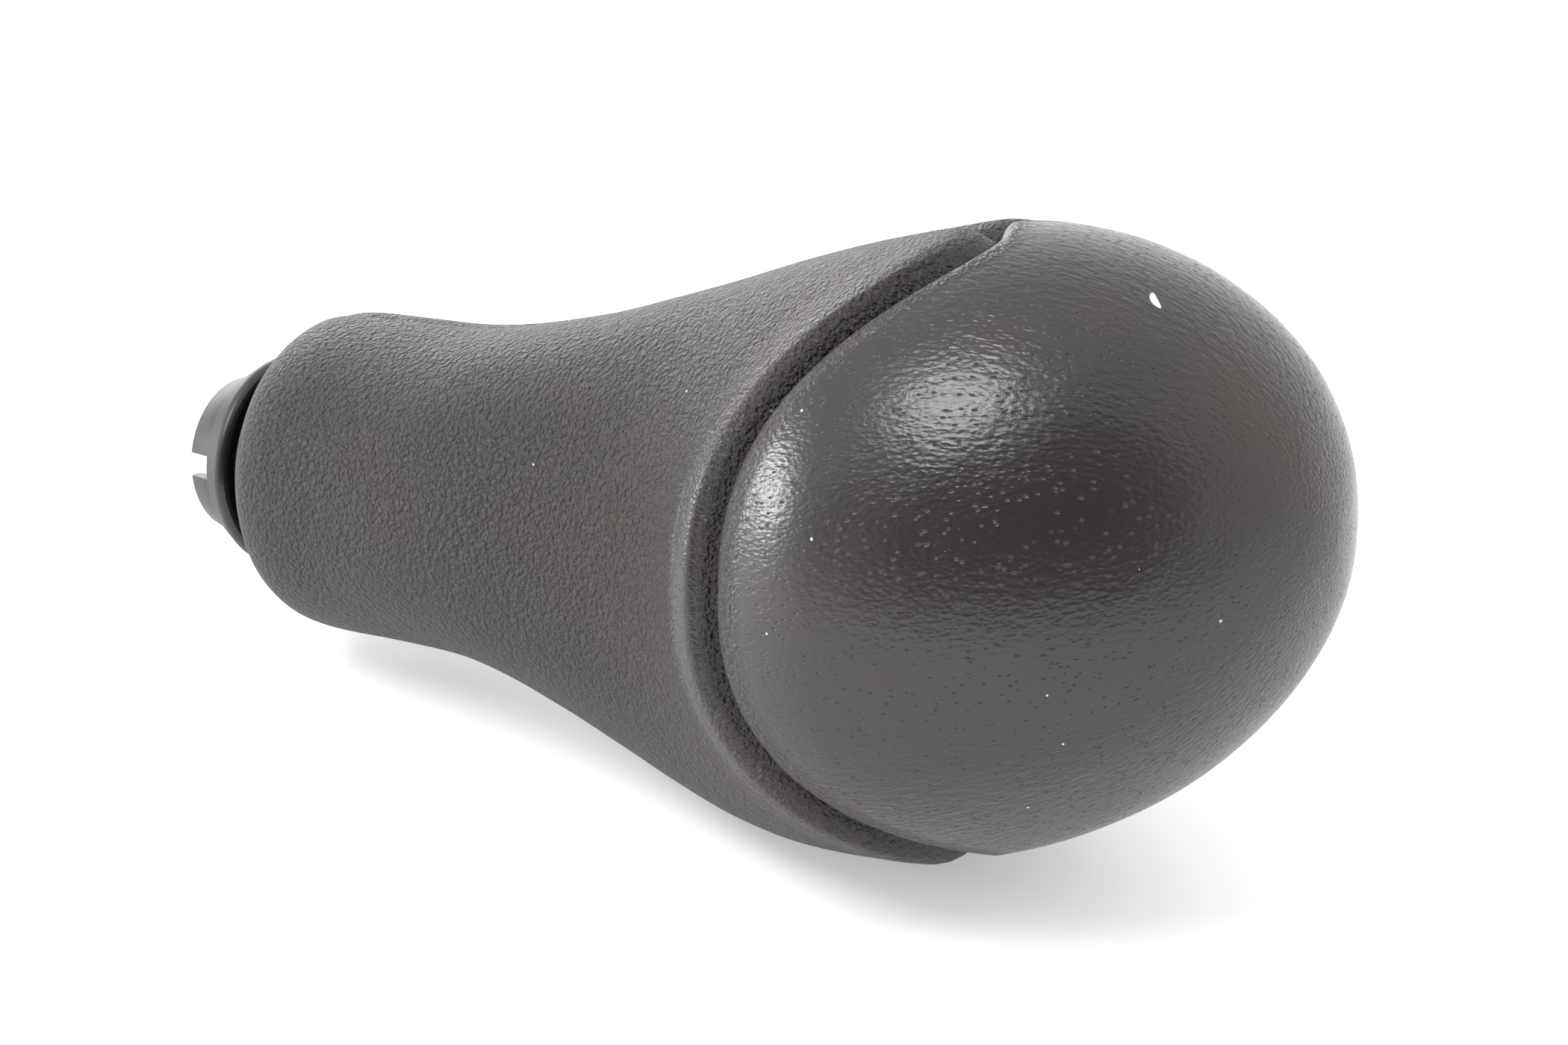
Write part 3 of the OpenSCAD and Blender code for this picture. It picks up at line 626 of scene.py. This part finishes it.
def make_sleeve(s):
    """The lock sleeve: a ring with band, rim and upper tube, and the skirt's two toothed halves."""
    low, top = SLEEVE_LOW[2], SLEEVE_HIGH[2]
    rim = corner((s.rim_r - s.rim_round, s.rim_z - s.rim_round), s.rim_round, -18, 90, 11)
    outside = corner((s.band_r - BAND_ROUND, STEP_Z + BAND_ROUND), BAND_ROUND, -90, 0, 5) + rim
    inside = corner((s.tube_out + TUBE_FOOT, s.rim_z + TUBE_FOOT), TUBE_FOOT, 270, 180, 6)
    tube = [(s.tube_out, top - TUBE_BEVEL), (s.tube_out - TUBE_BEVEL, top), (s.tube_in + TUBE_LEAD, top),
            (s.tube_in, top - TUBE_LEAD), (s.tube_in, s.channel_z), (s.channel_r, s.channel_z)]
    ring = np.array(outside + inside + tube + [(s.channel_r, STEP_Z), outside[0]])
    b = s.tooth_bevel
    ledge = -s.face_gap - s.ledge_t
    mouth = (s.skirt_in + MOUTH_LEAD, low)
    skirt = np.array([mouth, (s.tooth_r - b, low), (s.tooth_r, low + b), (s.skirt_r, STEP_Z),
                      (s.skirt_r, STEP_Z + STEP_LAP), (s.channel_r, STEP_Z + STEP_LAP),
                      (s.channel_r, -s.face_gap), (s.ledge_r, -s.face_gap), (s.ledge_r, ledge),
                      (s.skirt_in, ledge), (s.skirt_in, low + MOUTH_LEAD), mouth])
    grids = [turned_ring(ring, RING_COLUMNS)]
    grids += [turned_sector(skirt, s.notch_w / 2, SECTOR_COLUMNS, side) for side in (1, -1)]
    points, faces, start = [], [], 0
    for grid in grids:
        points.append(grid.reshape(-1, 3))
        faces.append(strip_faces(*grid.shape[:2], start))
        start += grid.shape[0] * grid.shape[1]
    made = make_object("lock_sleeve_body", np.concatenate(points), np.concatenate(faces))
    work = bmesh.new()
    work.from_mesh(made.data)
    bmesh.ops.holes_fill(work, edges=[edge for edge in work.edges if edge.is_boundary], sides=0)
    bmesh.ops.recalc_face_normals(work, faces=work.faces)
    work.to_mesh(made.data)
    work.free()
    bevel = made.modifiers.new("worn edges", "BEVEL")
    bevel.width = WORN_BEVEL
    bevel.segments = 3
    bevel.limit_method = "ANGLE"
    bevel.angle_limit = np.radians(SHARP_ANGLE)
    bevel.harden_normals = True
    return made


# Materials

def spot(tree, at, centre, radius):
    """1 inside a ball round a place on the object and 0 outside it, with a short fade between."""
    away = add(tree, "ShaderNodeVectorMath", {0: at, 1: centre}, operation="DISTANCE").outputs["Value"]
    fade = {"Value": away, "From Min": radius * 1.1, "From Max": radius * 0.8}
    return add(tree, "ShaderNodeMapRange", fade).outputs[0]


def bent_nick(tree, at, wear):
    """1 inside a bent drop, where the square of the way along it, plus the square of the way across less a
    bend that grows as that first square, is less than 1. It isn't bounded in depth, so it marks the far side
    of the knob too."""
    off = add(tree, "ShaderNodeVectorMath", {0: at, 1: wear.nick}, operation="SUBTRACT").outputs[0]
    ways = (Vector(wear.nick_way) / wear.nick_long, Vector(wear.nick_across) / wear.nick_wide)
    long, wide = (add(tree, "ShaderNodeVectorMath", {0: off, 1: way}, operation="DOT_PRODUCT").outputs[1]
                  for way in ways)
    square = add(tree, "ShaderNodeMath", {0: long, 1: long}, operation="MULTIPLY").outputs[0]
    wide = add(tree, "ShaderNodeMath", {0: square, 1: -wear.nick_bend, 2: wide},
               operation="MULTIPLY_ADD").outputs[0]
    reach = add(tree, "ShaderNodeMath", {0: wide, 1: wide, 2: square}, operation="MULTIPLY_ADD").outputs[0]
    return add(tree, "ShaderNodeMapRange", {"Value": reach, "From Min": 1.1, "From Max": 0.75}).outputs[0]


def grain_places(tree):
    """Places in the grain and in its longer streaks, which the meshes give in millimetres across the grain
    and shortened along it, both bent by one slow drift."""
    ways = [add(tree, "ShaderNodeAttribute", attribute_name=key).outputs["Vector"]
            for key in ("grain", "streak")]
    drift = add(tree, "ShaderNodeTexNoise", {"Vector": ways[0], "Scale": 0.5, "Detail": 1.0}).outputs["Color"]
    drift = add(tree, "ShaderNodeVectorMath", {0: drift, 1: (0.5, 0.5, 0.5)}, operation="SUBTRACT").outputs[0]
    drift = add(tree, "ShaderNodeVectorMath", {0: drift, "Scale": 0.35}, operation="SCALE").outputs[0]
    return [add(tree, "ShaderNodeVectorMath", {0: way, 1: drift}, operation="ADD").outputs[0] for way in ways]


def leather_pores(tree, look, grain, shade):
    """1 in a pore and 0 outside it. Pores are short dashes along the grain, one a cell and nearly of one
    size, and they close where the leather is dull or tight."""
    cells = add(tree, "ShaderNodeTexVoronoi", {"Vector": grain, "Scale": MM / look.pore_pitch})
    size = add(tree, "ShaderNodeSeparateColor", {"Color": cells.outputs["Color"]}).outputs["Red"]
    radius = add(tree, "ShaderNodeMapRange", {"Value": size, "To Min": 0.2, "To Max": 0.27}).outputs[0]
    pore = add(tree, "ShaderNodeMath", {0: cells.outputs["Distance"], 1: radius},
               operation="DIVIDE").outputs[0]
    pore = add(tree, "ShaderNodeMapRange", {"Value": pore, "From Min": 0.2, "From Max": 1.2, "To Min": 1.0,
                                           "To Max": 0.0}, interpolation_type="SMOOTHSTEP").outputs[0]
    closed = add(tree, "ShaderNodeMath", {0: shade["dull"], 1: 0.7, 2: shade["tight"]},
                 operation="MULTIPLY_ADD").outputs[0]
    return add(tree, "ShaderNodeMath", {0: pore, 1: closed}, operation="SUBTRACT", use_clamp=True).outputs[0]


def leather_relief(tree, look, mm, grain, streak, shade, pore):
    """The link to a shader's normal from the leather's bumps, one on the other: wavy ripples where it is
    gathered, pebbles where it is dull, a fine knobbly grain, pores, and puckers that cross the groove."""
    ripple = add(tree, "ShaderNodeTexNoise", {
        "Vector": streak, "Scale": MM / look.ripple_pitch, "Detail": 2.0, "Roughness": 0.5}).outputs["Fac"]
    knobbly = add(tree, "ShaderNodeTexVoronoi", {
        "Vector": grain, "Scale": 1.25 * MM / look.ripple_pitch, "Smoothness": 0.6},
        feature="SMOOTH_F1").outputs["Distance"]
    pebble = add(tree, "ShaderNodeTexNoise", {
        "Vector": mm, "Scale": MM / look.pebble_pitch, "Detail": 1.5, "Distortion": 0.5}).outputs["Fac"]
    pebbled = add(tree, "ShaderNodeMapRange", {"Value": shade["dull"], "To Min": 0.03}).outputs[0]
    flat = add(tree, "ShaderNodeUVMap", uv_map="millimetres").outputs["UV"]
    wave = MM / look.pucker_pitch
    flat = add(tree, "ShaderNodeMapping", {"Vector": flat, "Scale": (wave, wave * 0.25, 1)}).outputs["Vector"]
    pucker = add(tree, "ShaderNodeTexNoise", {
        "Vector": flat, "Scale": 1.0, "Detail": 2.0, "Distortion": 0.4}).outputs["Fac"]
    pucker = add(tree, "ShaderNodeMath", {0: pucker, 1: shade["tuck"]}, operation="MULTIPLY").outputs[0]
    ripple, pebble, pucker = (
        add(tree, "ShaderNodeMath", {0: height, 1: share}, operation="MULTIPLY").outputs[0]
        for height, share in ((ripple, shade["gather"]), (pebble, pebbled), (pucker, shade["gather"])))
    relief = {}
    for height, deep, sunk in ((ripple, 0.17, False), (pebble, 0.75, False), (knobbly, 0.03, False),
                               (pore, 0.05, True), (pucker, 1.1, False)):
        links = {"Strength": 1.0, "Distance": deep * MM, "Height": height, **relief}
        relief = {"Normal": add(tree, "ShaderNodeBump", links, invert=sunk).outputs[0]}
    return relief


def leather_colour(tree, look, wear, place, mm, shade, pore):
    """The leather's colour in layers: the dyed base, warmer patches, the tuck's browner colour with painted
    shade in the groove, darker pores, dust, the pale cut edge with a painted highlight along it, the nick,
    the crumb and the lint."""
    patch = add(tree, "ShaderNodeTexNoise", {"Vector": mm, "Scale": 0.045, "Detail": 2.0}).outputs["Fac"]
    patch = add(tree, "ShaderNodeMapRange", {"Value": patch, "From Min": 0.45, "From Max": 0.7}).outputs[0]
    faint = add(tree, "ShaderNodeMath", {0: pore, 1: 0.25}, operation="MULTIPLY").outputs[0]
    cells = add(tree, "ShaderNodeTexVoronoi", {"Vector": mm, "Scale": MM / look.dust_pitch})
    speck = add(tree, "ShaderNodeMath", {0: cells.outputs["Distance"], 1: 0.022},
                operation="LESS_THAN").outputs[0]
    lint = (wear.lint_left, wear.lint_middle, wear.lint_shoulder, wear.lint_low, wear.lint_top)
    # The tuck's colour paints shade into the groove on a browner tone
    layers = [(patch, look.warm), (shade["tuck"], look.groove_tuck_and_shade), (faint, look.pore), (speck, look.dust),
              # The cut edge's pale colour is a raw cut and a painted highlight along the lower edge
              (shade["cut"], look.cut), (bent_nick(tree, place, wear), wear.bare),
              (spot(tree, place, wear.crumb, wear.crumb_r), wear.crumb_colour)]
    layers += [(spot(tree, place, centre, wear.lint_r), look.dust) for centre in lint]
    tint = (*look.base, 1)
    for share, over in layers:
        tint = add(tree, "ShaderNodeMix", {0: share, 6: tint, 7: (*over, 1)}, data_type="RGBA").outputs[2]
    return tint


def leather(look, wear):
    """Full grain leather, dyed and sealed with a thin satin finish, stretched over a form and worn by hands.
    It gives a dark, slightly warm grey, with pores and a soft broad shine on the crown and at the lip, a dull
    pebbled grain on the neck, wavy ripples along the lever's axis and gathered puckers in the groove."""
    material, tree = new_material("sealed_full_grain_leather")
    place = add(tree, "ShaderNodeTexCoord").outputs["Object"]
    mm = add(tree, "ShaderNodeMapping", {"Vector": place, "Scale": (1 / MM,) * 3}).outputs["Vector"]
    shade = {key: add(tree, "ShaderNodeAttribute", attribute_name=key).outputs["Fac"]
             for key in ("tight", "dull", "gather", "tuck", "cut")}
    grain, streak = grain_places(tree)
    pore = leather_pores(tree, look, grain, shade)
    rough = add(tree, "ShaderNodeTexNoise", {"Vector": mm, "Scale": 1.5, "Detail": 2.0}).outputs["Fac"]
    rough = add(tree, "ShaderNodeMapRange", {"Value": rough, "To Min": 0.22, "To Max": 0.32}).outputs[0]
    for share, more in ((shade["dull"], 0.3), (pore, 0.4)):
        rough = add(tree, "ShaderNodeMath", {0: share, 1: more, 2: rough},
                    operation="MULTIPLY_ADD").outputs[0]
    tint = leather_colour(tree, look, wear, place, mm, shade, pore)
    relief = leather_relief(tree, look, mm, grain, streak, shade, pore)
    shader = add(tree, "ShaderNodeBsdfPrincipled", {
        "Base Color": tint, "Roughness": rough, "IOR": 1.54, **relief})
    add(tree, "ShaderNodeOutputMaterial", {"Surface": shader.outputs["BSDF"]})
    return material


def sleeve_plastic():
    """Glass filled nylon, moulded and handled. It gives a dull dark grey with fine scratches round the axis,
    and a rim that turning has polished."""
    material, tree = new_material("moulded_glass_filled_nylon")
    place = add(tree, "ShaderNodeTexCoord").outputs["Object"]
    mm = add(tree, "ShaderNodeMapping", {"Vector": place, "Scale": (1 / MM,) * 3}).outputs["Vector"]
    height = add(tree, "ShaderNodeSeparateXYZ", {"Vector": mm}).outputs["Z"]
    polish = add(tree, "ShaderNodeMapRange", {"Value": height, "From Min": 2.5, "From Max": 2.9}).outputs[0]
    fine = add(tree, "ShaderNodeTexNoise", {"Vector": mm, "Scale": 4.0, "Detail": 3.0}).outputs["Fac"]
    rings = add(tree, "ShaderNodeMapping", {"Vector": mm, "Scale": (0.4, 0.4, 6.0)}).outputs["Vector"]
    scratch = add(tree, "ShaderNodeTexNoise", {"Vector": rings, "Scale": 1.0, "Detail": 3.0}).outputs["Fac"]
    both = add(tree, "ShaderNodeMath", {0: fine, 1: scratch}, operation="ADD").outputs[0]
    grey = add(tree, "ShaderNodeMapRange", {"Value": both, "From Min": 0.7, "From Max": 1.3}).outputs[0]
    base = add(tree, "ShaderNodeMix", {0: grey, 6: linear("#232325"), 7: linear("#303032")}, data_type="RGBA")
    base = add(tree, "ShaderNodeMix", {0: polish, 6: base.outputs[2], 7: linear("#161618")}, data_type="RGBA")
    rough = add(tree, "ShaderNodeMapRange", {"Value": polish, "To Min": 0.5, "To Max": 0.2}).outputs[0]
    bump = add(tree, "ShaderNodeBump", {"Strength": 0.35, "Distance": 0.04 * MM, "Height": both})
    shader = add(tree, "ShaderNodeBsdfPrincipled", {
        "Base Color": base.outputs[2], "Roughness": rough, "IOR": 1.53, "Normal": bump.outputs["Normal"]})
    add(tree, "ShaderNodeOutputMaterial", {"Surface": shader.outputs["BSDF"]})
    return material


def core_plastic():
    """ABS moulded in a polished tool. It gives a deep black with sharp small reflections and faint scuffs."""
    material, tree = new_material("moulded_gloss_abs")
    place = add(tree, "ShaderNodeTexCoord").outputs["Object"]
    scuff = add(tree, "ShaderNodeTexNoise", {
        "Vector": place, "Scale": 0.9 / MM, "Detail": 3.0}).outputs["Fac"]
    rough = add(tree, "ShaderNodeMapRange", {"Value": scuff, "To Min": 0.12, "To Max": 0.3}).outputs[0]
    bump = add(tree, "ShaderNodeBump", {"Strength": 0.1, "Distance": 0.02 * MM, "Height": scuff})
    shader = add(tree, "ShaderNodeBsdfPrincipled", {
        "Base Color": linear("#2c2c30"), "Roughness": rough, "IOR": 1.54, "Normal": bump.outputs["Normal"]})
    add(tree, "ShaderNodeOutputMaterial", {"Surface": shader.outputs["BSDF"]})
    return material


def plain_moulding(name, hexa, roughness, grain_mm):
    """A moulded surface with a fine even grain, for the parts that the leather hides."""
    material, tree = new_material(name)
    place = add(tree, "ShaderNodeTexCoord").outputs["Object"]
    grain = add(tree, "ShaderNodeTexNoise", {"Vector": place, "Scale": 1 / (grain_mm * MM), "Detail": 2.0})
    shade = [tuple(c * k for c in linear(hexa)[:3]) + (1.0,) for k in (0.8, 1.2)]
    base = add(tree, "ShaderNodeMix", {0: grain.outputs["Fac"], 6: shade[0], 7: shade[1]}, data_type="RGBA")
    bump = add(tree, "ShaderNodeBump", {
        "Strength": 0.4, "Distance": 0.05 * MM, "Height": grain.outputs["Fac"]})
    shader = add(tree, "ShaderNodeBsdfPrincipled", {
        "Base Color": base.outputs[2], "Roughness": roughness, "Normal": bump.outputs["Normal"]})
    add(tree, "ShaderNodeOutputMaterial", {"Surface": shader.outputs["BSDF"]})
    return material


def floor_card(glow):
    """Matt white card on a lit table, which fills the shadows from below; from behind it is clear."""
    material, tree = new_material("matt_white_card")
    behind = add(tree, "ShaderNodeNewGeometry").outputs["Backfacing"]
    card = add(tree, "ShaderNodeBsdfDiffuse", {"Color": linear("#f4f4f4")}).outputs["BSDF"]
    lit = add(tree, "ShaderNodeEmission", {"Strength": glow}).outputs["Emission"]
    card = add(tree, "ShaderNodeAddShader", {0: card, 1: lit}).outputs["Shader"]
    clear = add(tree, "ShaderNodeBsdfTransparent").outputs["BSDF"]
    both = add(tree, "ShaderNodeMixShader", {0: behind, 1: card, 2: clear}).outputs["Shader"]
    add(tree, "ShaderNodeOutputMaterial", {"Surface": both})
    return material


def use_material(piece, material):
    """The piece's only material."""
    piece.data.materials.clear()
    piece.data.materials.append(material)


# Operators

class KNOB_OT_crown(bpy.types.Operator):
    """Makes the crown's leather cover with its rolled edge"""

    bl_idname = "knob.crown"
    bl_label = "Crown Leather"

    def execute(self, context):
        scene = context.scene
        crown = make_crown(scene.knob_sizes, scene.leather_sizes)
        use_material(crown, shared("sealed_full_grain_leather"))
        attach(crown, "grip")
        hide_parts("crown_cover")
        return {"FINISHED"}


class KNOB_OT_sides(bpy.types.Operator):
    """Makes the two side covers, tucked into the groove and the seams"""

    bl_idname = "knob.sides"
    bl_label = "Side Leathers"

    def execute(self, context):
        scene = context.scene
        for name, node, side in (("side_leather_left", "side_cover_left", 1),
                                 ("side_leather_right", "side_cover_right", -1)):
            cover = make_side(scene.knob_sizes, scene.leather_sizes, name, side)
            use_material(cover, shared("sealed_full_grain_leather"))
            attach(cover, "grip")
            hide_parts(node)
        return {"FINISHED"}


class KNOB_OT_sleeve(bpy.types.Operator):
    """Makes the notched lock sleeve with its worn edges"""

    bl_idname = "knob.sleeve"
    bl_label = "Lock Sleeve"

    def execute(self, context):
        sleeve = make_sleeve(context.scene.sleeve_sizes)
        use_material(sleeve, shared("moulded_glass_filled_nylon"))
        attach(sleeve, "sleeve")
        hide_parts("lock_sleeve")
        return {"FINISHED"}


class KNOB_OT_core(bpy.types.Operator):
    """Gives the core, the cushion, the foam and the carrier their finishes"""

    bl_idname = "knob.core"
    bl_label = "Core And Foam"

    def execute(self, context):
        finishes = {"core_insert": "moulded_gloss_abs", "socket_cushion": "nitrile_rubber",
                    "grip_body": "moulded_polyurethane_foam", "crown_carrier": "moulded_polypropylene"}
        for node, name in finishes.items():
            use_material(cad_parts[node], shared(name))
        return {"FINISHED"}


# Each soft box's direction from the knob's middle, its size in metres and its power in watts
SOFT_BOXES = {
    "front box": ((0.712, -0.691, -0.13), 0.34, 3.0),
    "left box": ((0.44, -0.137, -0.888), 0.17, 1.6),
    "back box": ((-0.494, -0.379, -0.783), 0.45, 2.9),
}
LIGHT_TARGET = Vector((0, 0, 60 * MM))
LIGHT_DISTANCE = 0.7


class KNOB_OT_stage(bpy.types.Operator):
    """Sets the camera, the pale floor and the studio lights"""

    bl_idname = "knob.stage"
    bl_label = "Stage"

    def execute(self, context):
        scene, s = context.scene, context.scene.stage_settings
        forward, down = Vector(s.camera_forward).normalized(), Vector(s.camera_down)
        down = (down - down.dot(forward) * forward).normalized()
        camera = bpy.data.objects.new("camera", bpy.data.cameras.new("camera"))
        turn = Matrix((down.cross(forward), -down, -forward)).transposed()
        camera.matrix_world = Matrix.Translation(s.camera_at) @ turn.to_4x4()
        camera.data.sensor_width = 36
        camera.data.lens = s.lens
        camera.data.clip_start = 0.01
        scene.collection.objects.link(camera)
        scene.camera = camera
        self.make_floor(scene, s)
        self.make_lights(scene, s)
        return {"FINISHED"}

    def make_floor(self, scene, s):
        """A flat card that touches the lowest point of the lying knob's covers."""
        up = Vector(s.floor_up).normalized()
        covers = [piece.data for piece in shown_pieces()
                  if piece.name in ("crown_leather", "side_leather_left", "side_leather_right")]
        middle = up * min(float((vertex_places(cover) @ np.array(up)).min()) for cover in covers)
        side = up.orthogonal().normalized()
        other = up.cross(side)
        corners = [middle + (side * i + other * j) * s.floor_size / 2
                   for i, j in ((-1, -1), (1, -1), (1, 1), (-1, 1))]
        mesh = bpy.data.meshes.new("floor")
        mesh.from_pydata(corners, [], [(0, 1, 2, 3)])
        mesh.update()
        floor = bpy.data.objects.new("floor", mesh)
        scene.collection.objects.link(floor)
        use_material(floor, floor_card(s.table_glow))
        floor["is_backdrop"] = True

    def make_lights(self, scene, s):
        """A white surround, darker by a smooth step where the room behind the photographer is, and the soft
        boxes."""
        world = bpy.data.worlds.new("white surround")
        world.use_nodes = True
        tree = world.node_tree
        sky = tree.nodes["Background"]
        sky.inputs["Color"].default_value = (1, 1, 1, 1)
        way = add(tree, "ShaderNodeTexCoord").outputs["Generated"]
        toward = add(tree, "ShaderNodeVectorMath", {0: way, 1: Vector(s.room).normalized()},
                     operation="DOT_PRODUCT").outputs["Value"]
        shade = add(tree, "ShaderNodeMapRange", {"Value": toward, "From Min": 0.45, "From Max": 0.95,
                                                "To Min": s.surround, "To Max": s.room_light},
                    interpolation_type="SMOOTHSTEP").outputs[0]
        tree.links.new(shade, sky.inputs["Strength"])
        scene.world = world
        scene.view_settings.view_transform = "Standard"
        for name, (toward, size, power) in SOFT_BOXES.items():
            lamp = bpy.data.lights.new(name, "AREA")
            lamp.shape = "DISK"
            lamp.size = size
            lamp.energy = power
            light = bpy.data.objects.new(name, lamp)
            way = Vector(toward).normalized()
            light.location = LIGHT_TARGET + way * LIGHT_DISTANCE
            light.rotation_mode = "QUATERNION"
            light.rotation_quaternion = way.to_track_quat("Z", "Y")
            scene.collection.objects.link(light)


# Each plain moulding's colour, its roughness and its grain in millimetres
PLAIN_MOULDINGS = {
    "nitrile_rubber": ("#1c1c1c", 0.7, 0.3),
    "moulded_polyurethane_foam": ("#2c2b2a", 0.8, 0.5),
    "moulded_polypropylene": ("#3a3a3b", 0.5, 0.2),
}


def shared(name):
    """The material of that name, made the first time it is asked for."""
    scene = bpy.context.scene
    makers = {"sealed_full_grain_leather": lambda: leather(scene.leather_look, scene.wear_marks),
              "moulded_glass_filled_nylon": sleeve_plastic, "moulded_gloss_abs": core_plastic}
    if name in bpy.data.materials:
        return bpy.data.materials[name]
    return makers[name]() if name in makers else plain_moulding(name, *PLAIN_MOULDINGS[name])


OPERATORS = (KNOB_OT_crown, KNOB_OT_sides, KNOB_OT_sleeve, KNOB_OT_core, KNOB_OT_stage)


class KNOB_PT_sidebar(bpy.types.Panel):
    """The knob's operators and sizes in the sidebar"""

    bl_idname = "KNOB_PT_sidebar"
    bl_label = "Shift Knob"
    bl_space_type = "VIEW_3D"
    bl_region_type = "UI"
    bl_category = "Shift Knob"

    def draw(self, context):
        for operator in OPERATORS:
            self.layout.operator(operator.bl_idname)
        for name, group in GROUPS.items():
            column = self.layout.column(align=True)
            column.label(text=group.__doc__)
            for key in group.__annotations__:
                column.prop(getattr(context.scene, name), key)


GROUPS = {
    "knob_sizes": KnobSizes, "leather_sizes": LeatherSizes, "leather_look": LeatherLook,
    "wear_marks": WearMarks, "sleeve_sizes": SleeveSizes, "stage_settings": StageSettings,
}


def register():
    """Adds the settings to the scene, and the operators and the panel to Blender."""
    for group in GROUPS.values():
        bpy.utils.register_class(group)
    for name, group in GROUPS.items():
        setattr(bpy.types.Scene, name, PointerProperty(type=group))
    for kind in (*OPERATORS, KNOB_PT_sidebar):
        bpy.utils.register_class(kind)


def unregister():
    """Takes all that register added away again."""
    for kind in reversed((*OPERATORS, KNOB_PT_sidebar)):
        bpy.utils.unregister_class(kind)
    for name in GROUPS:
        delattr(bpy.types.Scene, name)
    for group in reversed(GROUPS.values()):
        bpy.utils.unregister_class(group)


def main():
    """Makes the knob and its stage."""
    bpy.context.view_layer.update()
    register()
    bpy.ops.knob.crown()
    bpy.ops.knob.sides()
    bpy.ops.knob.sleeve()
    bpy.ops.knob.core()
    bpy.ops.knob.stage()


if __name__ == "__main__":
    main()
